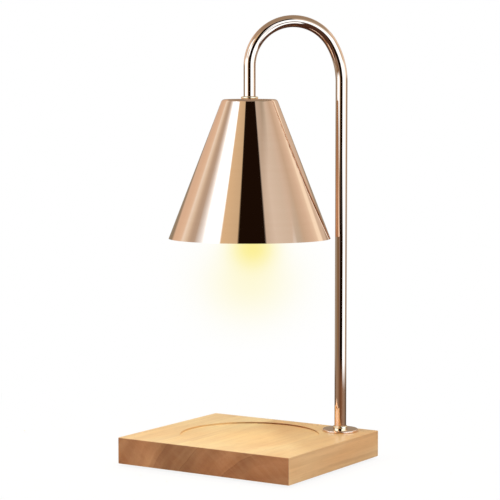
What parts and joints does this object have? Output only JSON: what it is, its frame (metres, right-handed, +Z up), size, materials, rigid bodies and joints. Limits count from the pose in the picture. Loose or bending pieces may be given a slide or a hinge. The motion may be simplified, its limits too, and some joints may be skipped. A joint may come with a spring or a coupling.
{
  "type": "candle warmer lamp",
  "caption": "Table lamp that melts a jar candle from above: a conical polished metal shade hangs from a bent tube pole over a round recess in an oblong wooden board.",
  "frame": {"origin": "centre of the board's footprint, on the surface that the feet stand on", "axes": "+Z up along the shade's axis; +X along the board's long side, towards the pole's corner; +Y towards the back edge, where the cord inlet is"},
  "size_m": [0.16, 0.14, 0.3593],
  "materials": {
    "wood": "satin-lacquered light beech with fine pores",
    "black_board": "matt black pressed board",
    "black_rubber": "matt",
    "white_plastic": "natural translucent white moulding",
    "core_sleeve": "glass-fibre sleeving",
    "lead_sleeve": "silicone jacket",
    "rose_gold": "mirror-polished rose gold plating",
    "pale_gold": "mirror-polished pale gold plating",
    "zinc_steel": "bright zinc",
    "brass": "bare",
    "nickel": "dull nickel plating",
    "ceramic": "unglazed steatite",
    "reflector": "faceted, bright coating",
    "lens_glass": "clear, lit from behind",
    "capsule_glass": "clear quartz, lit"
  },
  "bodies": {
    "lamp": {"wood_base": "wood", "bottom_cover": "black_board", "cover_screws": "zinc_steel", "foot_front_left": "black_rubber", "foot_front_right": "black_rubber", "foot_back_left": "black_rubber", "foot_back_right": "black_rubber", "cord_grommet": "black_rubber", "terminal_block": "white_plastic", "terminal_fixing": "zinc_steel", "terminal_tubes": "brass", "terminal_screws": "zinc_steel", "base_cores": "core_sleeve", "head_cores": "core_sleeve", "lamp_lead": "lead_sleeve", "pole_tube": "rose_gold", "pole_flange": "rose_gold", "foot_ring": "pale_gold", "top_collar": "pale_gold", "shade": "rose_gold", "foot_nipple": "zinc_steel", "foot_washer": "zinc_steel", "foot_nut": "zinc_steel", "head_nipple": "zinc_steel", "shade_washer": "zinc_steel", "head_nut": "zinc_steel", "holder_bracket": "zinc_steel", "holder_screws": "zinc_steel", "lamp_holder": "ceramic", "holder_contacts": "brass"},
    "bulb": {"bulb_base": "ceramic", "bulb_pins": "nickel", "bulb_reflector": "reflector", "bulb_lens": "lens_glass", "bulb_capsule": "capsule_glass"}
  },
  "joints": [
    {"name": "bulb_twist", "type": "hinge", "parent": "lamp", "child": "bulb", "pos_m": [0, 0, 0.2579], "axis": [0, 0, 1], "range_deg": [-22, 0]}
  ]
}
